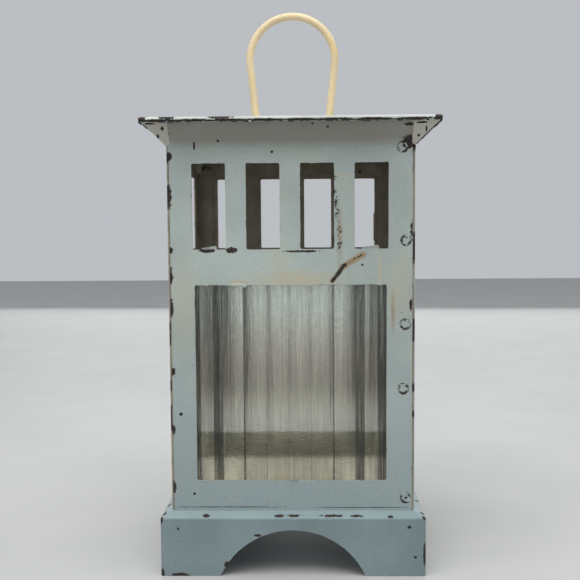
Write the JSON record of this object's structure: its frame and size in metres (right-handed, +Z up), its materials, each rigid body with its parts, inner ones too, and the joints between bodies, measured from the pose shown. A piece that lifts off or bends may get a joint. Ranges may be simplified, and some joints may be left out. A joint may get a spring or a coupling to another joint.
{
  "type": "candle lantern",
  "caption": "Square sheet-metal candle lantern with fluted glass panes, vent slots, a flat hemmed roof, a wire bail, an arched plinth and a hinged back door.",
  "frame": {"origin": "centre of the plinth's footprint, on the surface it stands on", "axes": "+Z up, front wall facing -Y, door at +Y, bail hinge along X"},
  "size_m": [0.119, 0.119, 0.2385],
  "materials": {
    "body_paint": "aged satin enamel, chipped at edges",
    "plinth_paint": "aged satin enamel, chipped at edges",
    "roof_paint": "aged satin enamel, chipped at edges",
    "bail_paint": "aged ivory enamel",
    "glass": "fluted and finely stippled",
    "tinplate": "dull, sooted"
  },
  "bodies": {
    "lantern": {"plinth": "plinth_paint", "front_wall": "body_paint", "right_wall": "body_paint", "back_wall": "body_paint", "left_wall": "body_paint", "roof_plate": "roof_paint", "front_glass": "glass", "right_glass": "glass", "left_glass": "glass", "front_glass_tabs": "tinplate", "right_glass_tabs": "tinplate", "left_glass_tabs": "tinplate", "candle_cup": "tinplate", "cup_rivet": "tinplate", "bail_ear_left": "roof_paint", "bail_ear_right": "roof_paint", "ear_rivets": "roof_paint", "hinge_leaf_lower": "body_paint", "hinge_leaf_upper": "body_paint", "hinge_pin_lower": "tinplate", "hinge_pin_upper": "tinplate", "latch_stud": "body_paint"},
    "door": {"door_panel": "body_paint", "door_glass": "glass", "door_glass_tabs": "tinplate", "door_leaf_lower": "body_paint", "door_leaf_upper": "body_paint", "door_knob": "body_paint", "knob_washer": "tinplate"},
    "latch": {"turn_button": "body_paint"},
    "bail": {"bail_handle": "bail_paint"}
  },
  "joints": [
    {"name": "door_swing", "type": "hinge", "parent": "lantern", "child": "door", "pos_m": [0.0512, 0.0515, 0.1], "axis": [0, 0, -1], "range_deg": [0, 180]},
    {"name": "latch_turn", "type": "hinge", "parent": "lantern", "child": "latch", "pos_m": [-0.047, 0.05165, 0.092], "axis": [0, -1, 0], "range_deg": [-90, 90]},
    {"name": "bail_swing", "type": "hinge", "parent": "lantern", "child": "bail", "pos_m": [0, 0, 0.1896], "axis": [1, 0, 0], "range_deg": [-90, 90]}
  ]
}
